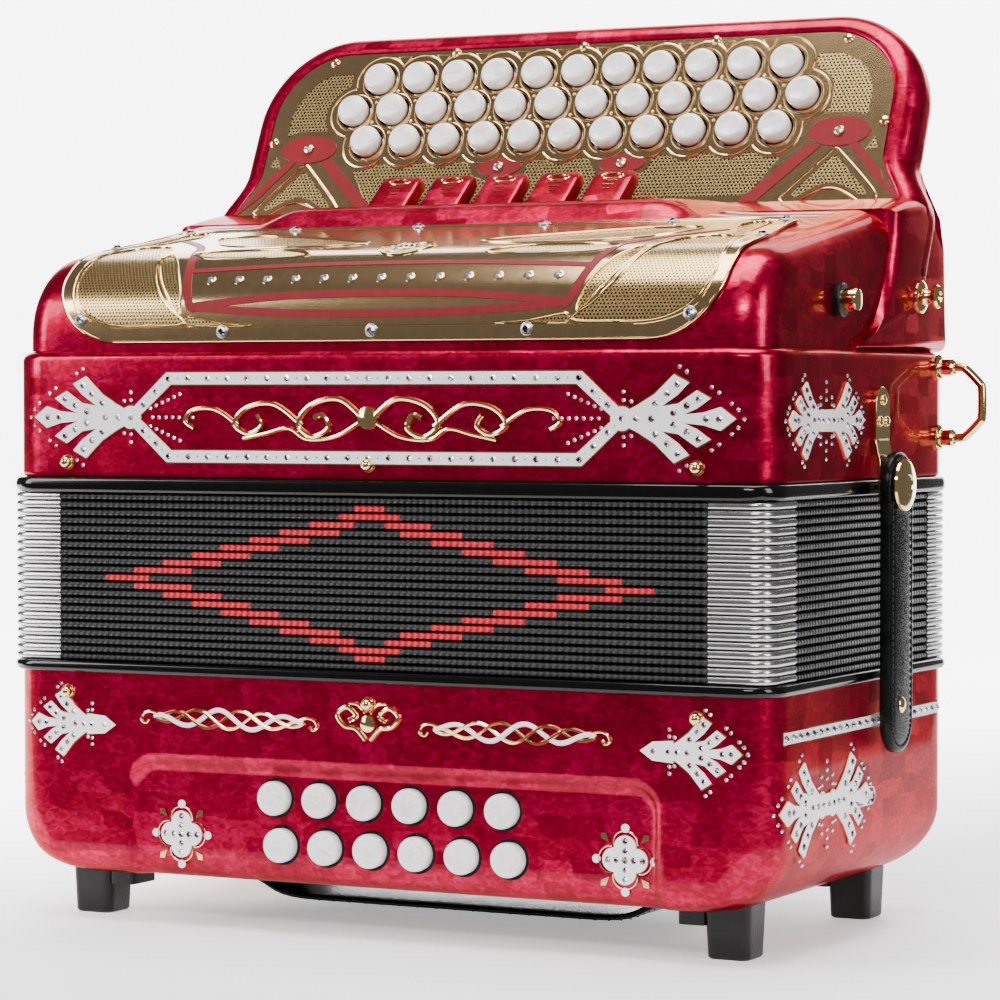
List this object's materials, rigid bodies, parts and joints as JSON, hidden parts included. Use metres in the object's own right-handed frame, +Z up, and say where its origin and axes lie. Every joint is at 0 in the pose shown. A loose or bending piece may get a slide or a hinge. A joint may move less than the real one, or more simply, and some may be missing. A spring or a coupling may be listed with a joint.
{
  "type": "button accordion",
  "caption": "Three-row button accordion standing on its bass end, with sliding bellows, sprung buttons, register switches and bellows straps.",
  "frame": {"origin": "under the middle of the outer box, on the surface the feet stand on", "axes": "+Z up along the bellows travel, -Y out of the grille and bass button face, +X to the right seen from the front"},
  "size_m": [0.365, 0.2094, 0.3588],
  "materials": {
    "red_pearloid": "polished mother-of-pearl celluloid",
    "gold_brass": "polished gold plate",
    "red_cloth": "woven",
    "wood": "planed",
    "steel": "satin",
    "nickel": "bright nickel",
    "bellows_cloth": "cord-covered card",
    "black_gloss": "gloss",
    "black_leather": "grained",
    "white_pearl": "polished pearl",
    "white_inlay": "gloss",
    "crystal": "cut stone"
  },
  "bodies": {
    "bass_side": {"bass_casing": "red_pearloid", "bass_end_plate": "black_gloss", "bass_button_guide": "wood", "bass_soundboard": "wood", "bass_reed_block": "wood", "bass_reed_plates": "steel", "bass_bellows_frame": "black_gloss", "bass_bellows_pins": "gold_brass", "bellows_folds": "bellows_cloth", "bellows_corners": "nickel", "feet": "black_gloss", "hand_strap": "black_leather", "hand_strap_plates": "gold_brass", "end_plate_screws": "steel"},
    "treble_side": {"treble_casing": "red_pearloid", "treble_hood": "red_pearloid", "treble_grille": "gold_brass", "grille_cloth": "red_cloth", "fingerboard_shell": "red_pearloid", "fingerboard_plate": "gold_brass", "register_plateau": "red_pearloid", "treble_soundboard": "wood", "treble_reed_blocks": "wood", "treble_reed_plates": "steel", "treble_bellows_frame": "black_gloss", "treble_lever_axle": "steel", "strap_loops": "gold_brass", "strap_buttons": "gold_brass", "strap_brackets": "gold_brass", "strap_knobs": "gold_brass", "treble_bellows_pins": "gold_brass", "grille_screws": "steel"},
    "treble_buttons_row_1": {"treble_buttons_row_1": "white_pearl"},
    "treble_buttons_row_2": {"treble_buttons_row_2": "white_pearl"},
    "treble_buttons_row_3": {"treble_buttons_row_3": "white_pearl"},
    "treble_levers_row_1": {"treble_levers_row_1": "steel"},
    "treble_levers_row_2": {"treble_levers_row_2": "steel"},
    "treble_levers_row_3": {"treble_levers_row_3": "steel"},
    "bass_button_01": {"bass_button_01": "white_pearl"},
    "bass_button_02": {"bass_button_02": "white_pearl"},
    "bass_button_03": {"bass_button_03": "white_pearl"},
    "bass_button_04": {"bass_button_04": "white_pearl"},
    "bass_button_05": {"bass_button_05": "white_pearl"},
    "bass_button_06": {"bass_button_06": "white_pearl"},
    "bass_button_07": {"bass_button_07": "white_pearl"},
    "bass_button_08": {"bass_button_08": "white_pearl"},
    "bass_button_09": {"bass_button_09": "white_pearl"},
    "bass_button_10": {"bass_button_10": "white_pearl"},
    "bass_button_11": {"bass_button_11": "white_pearl"},
    "bass_button_12": {"bass_button_12": "white_pearl"},
    "register_switch_1": {"register_switch_1": "red_pearloid"},
    "register_switch_2": {"register_switch_2": "red_pearloid"},
    "register_switch_3": {"register_switch_3": "red_pearloid"},
    "register_switch_4": {"register_switch_4": "red_pearloid"},
    "register_switch_5": {"register_switch_5": "red_pearloid"},
    "air_lever": {"air_lever": "white_pearl"},
    "bellows_strap_right": {"bellows_strap_right": "black_leather"},
    "bellows_strap_left": {"bellows_strap_left": "black_leather"},
    "thumb_screw": {"thumb_screw": "gold_brass"}
  },
  "joints": [
    {"name": "bellows_travel", "type": "slide", "parent": "bass_side", "child": "treble_side", "axis": [0, 0, 1], "range_m": [0, 0.28], "deforming": ["bellows_folds", "bellows_corners"]},
    {"name": "treble_row_1_press", "type": "slide", "parent": "treble_side", "child": "treble_buttons_row_1", "axis": [0, 0.9092, -0.4163], "range_m": [0, 0.004], "stiffness_N_per_m": 300},
    {"name": "treble_levers_1_turn", "type": "hinge", "parent": "treble_side", "child": "treble_levers_row_1", "pos_m": [0, 0.05762, 0.26631], "axis": [-1, 0, 0], "range_deg": [0, 3.26]},
    {"name": "treble_row_2_press", "type": "slide", "parent": "treble_side", "child": "treble_buttons_row_2", "axis": [0, 0.9092, -0.4163], "range_m": [0, 0.004], "stiffness_N_per_m": 300},
    {"name": "treble_levers_2_turn", "type": "hinge", "parent": "treble_side", "child": "treble_levers_row_2", "pos_m": [0, 0.05762, 0.26631], "axis": [-1, 0, 0], "range_deg": [0, 4.02]},
    {"name": "treble_row_3_press", "type": "slide", "parent": "treble_side", "child": "treble_buttons_row_3", "axis": [0, 0.9092, -0.4163], "range_m": [0, 0.004], "stiffness_N_per_m": 300},
    {"name": "treble_levers_3_turn", "type": "hinge", "parent": "treble_side", "child": "treble_levers_row_3", "pos_m": [0, 0.05762, 0.26631], "axis": [-1, 0, 0], "range_deg": [0, 5.29]},
    {"name": "bass_button_01_press", "type": "slide", "parent": "bass_side", "child": "bass_button_01", "axis": [0, 1, 0], "range_m": [0, 0.004], "stiffness_N_per_m": 150},
    {"name": "bass_button_02_press", "type": "slide", "parent": "bass_side", "child": "bass_button_02", "axis": [0, 1, 0], "range_m": [0, 0.004], "stiffness_N_per_m": 150},
    {"name": "bass_button_03_press", "type": "slide", "parent": "bass_side", "child": "bass_button_03", "axis": [0, 1, 0], "range_m": [0, 0.004], "stiffness_N_per_m": 150},
    {"name": "bass_button_04_press", "type": "slide", "parent": "bass_side", "child": "bass_button_04", "axis": [0, 1, 0], "range_m": [0, 0.004], "stiffness_N_per_m": 150},
    {"name": "bass_button_05_press", "type": "slide", "parent": "bass_side", "child": "bass_button_05", "axis": [0, 1, 0], "range_m": [0, 0.004], "stiffness_N_per_m": 150},
    {"name": "bass_button_06_press", "type": "slide", "parent": "bass_side", "child": "bass_button_06", "axis": [0, 1, 0], "range_m": [0, 0.004], "stiffness_N_per_m": 150},
    {"name": "bass_button_07_press", "type": "slide", "parent": "bass_side", "child": "bass_button_07", "axis": [0, 1, 0], "range_m": [0, 0.004], "stiffness_N_per_m": 150},
    {"name": "bass_button_08_press", "type": "slide", "parent": "bass_side", "child": "bass_button_08", "axis": [0, 1, 0], "range_m": [0, 0.004], "stiffness_N_per_m": 150},
    {"name": "bass_button_09_press", "type": "slide", "parent": "bass_side", "child": "bass_button_09", "axis": [0, 1, 0], "range_m": [0, 0.004], "stiffness_N_per_m": 150},
    {"name": "bass_button_10_press", "type": "slide", "parent": "bass_side", "child": "bass_button_10", "axis": [0, 1, 0], "range_m": [0, 0.004], "stiffness_N_per_m": 150},
    {"name": "bass_button_11_press", "type": "slide", "parent": "bass_side", "child": "bass_button_11", "axis": [0, 1, 0], "range_m": [0, 0.004], "stiffness_N_per_m": 150},
    {"name": "bass_button_12_press", "type": "slide", "parent": "bass_side", "child": "bass_button_12", "axis": [0, 1, 0], "range_m": [0, 0.004], "stiffness_N_per_m": 150},
    {"name": "register_1_press", "type": "hinge", "parent": "treble_side", "child": "register_switch_1", "pos_m": [-0.0645, 0.03375, 0.2795], "axis": [-1, 0, 0], "range_deg": [0, 8], "stiffness_Nm_per_rad": 0.4},
    {"name": "register_2_press", "type": "hinge", "parent": "treble_side", "child": "register_switch_2", "pos_m": [-0.0401, 0.03375, 0.2795], "axis": [-1, 0, 0], "range_deg": [0, 8], "stiffness_Nm_per_rad": 0.4},
    {"name": "register_3_press", "type": "hinge", "parent": "treble_side", "child": "register_switch_3", "pos_m": [-0.0157, 0.03375, 0.2795], "axis": [-1, 0, 0], "range_deg": [0, 8], "stiffness_Nm_per_rad": 0.4},
    {"name": "register_4_press", "type": "hinge", "parent": "treble_side", "child": "register_switch_4", "pos_m": [0.0087, 0.03375, 0.2795], "axis": [-1, 0, 0], "range_deg": [0, 8], "stiffness_Nm_per_rad": 0.4},
    {"name": "register_5_press", "type": "hinge", "parent": "treble_side", "child": "register_switch_5", "pos_m": [0.0331, 0.03375, 0.2795], "axis": [-1, 0, 0], "range_deg": [0, 8], "stiffness_Nm_per_rad": 0.4},
    {"name": "air_lever_press", "type": "hinge", "parent": "bass_side", "child": "air_lever", "pos_m": [0.1525, -0.01725, 0.054], "axis": [0, 0, 1], "range_deg": [0, 8], "stiffness_Nm_per_rad": 0.3},
    {"name": "bellows_strap_right_swing", "type": "hinge", "parent": "treble_side", "child": "bellows_strap_right", "pos_m": [0.168, 0.00375, 0.171], "axis": [1, 0, 0], "range_deg": [-45, 45]},
    {"name": "bellows_strap_left_swing", "type": "hinge", "parent": "treble_side", "child": "bellows_strap_left", "pos_m": [-0.168, 0.00375, 0.171], "axis": [1, 0, 0], "range_deg": [-45, 45]},
    {"name": "thumb_screw_turn", "type": "hinge", "parent": "treble_side", "child": "thumb_screw", "pos_m": [0.165, -0.03065, 0.24], "axis": [1, 0, 0], "continuous": true}
  ],
  "couplings": [
    {"joint": "treble_levers_1_turn", "follows": "treble_row_1_press", "rad_per_m": 13.333},
    {"joint": "treble_levers_2_turn", "follows": "treble_row_2_press", "rad_per_m": 16.667},
    {"joint": "treble_levers_3_turn", "follows": "treble_row_3_press", "rad_per_m": 22.222}
  ]
}
